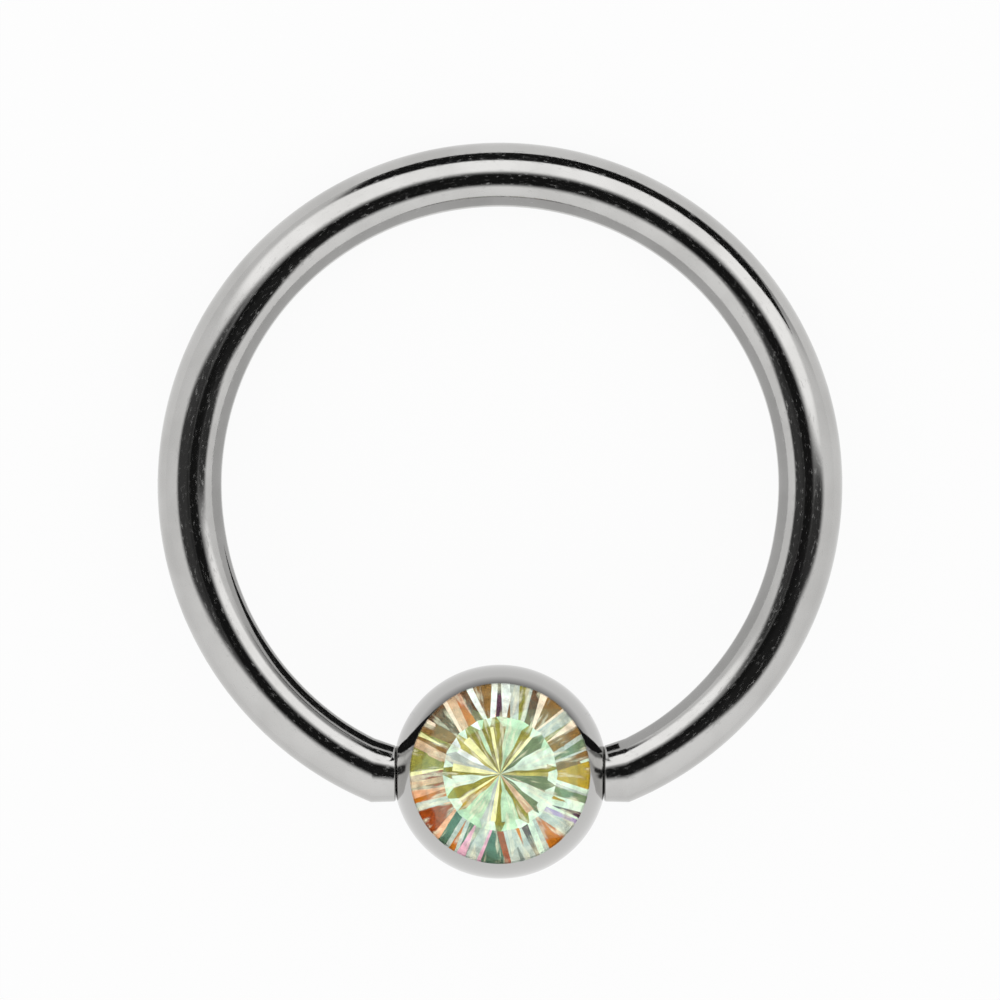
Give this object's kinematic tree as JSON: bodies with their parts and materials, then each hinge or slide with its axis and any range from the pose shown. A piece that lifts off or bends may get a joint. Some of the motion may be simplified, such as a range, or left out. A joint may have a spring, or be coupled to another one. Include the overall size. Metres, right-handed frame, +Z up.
{
  "type": "captive bead ring",
  "caption": "Sprung round wire hoop for a body piercing, closed by a steel bead held between its ends; the bead turns on them and carries a faceted iridescent stone.",
  "frame": {"origin": "on the floor that the ring lies on, under the middle of its box", "axes": "+Z up, +Y from the bead towards the far side of the hoop, +X along the line through the two wire ends"},
  "size_m": [0.0128, 0.0136, 0.0035],
  "materials": {
    "wire_steel": "polished",
    "bead_steel": "polished",
    "crystal": "gloss"
  },
  "bodies": {
    "hoop": {"ring": "wire_steel"},
    "jewelled_bead": {"bead": "bead_steel", "stone": "crystal"}
  },
  "joints": [
    {"name": "bead_turn", "type": "hinge", "parent": "hoop", "child": "jewelled_bead", "pos_m": [0, -0.00483, 0.002], "axis": [1, 0, 0], "continuous": true}
  ]
}
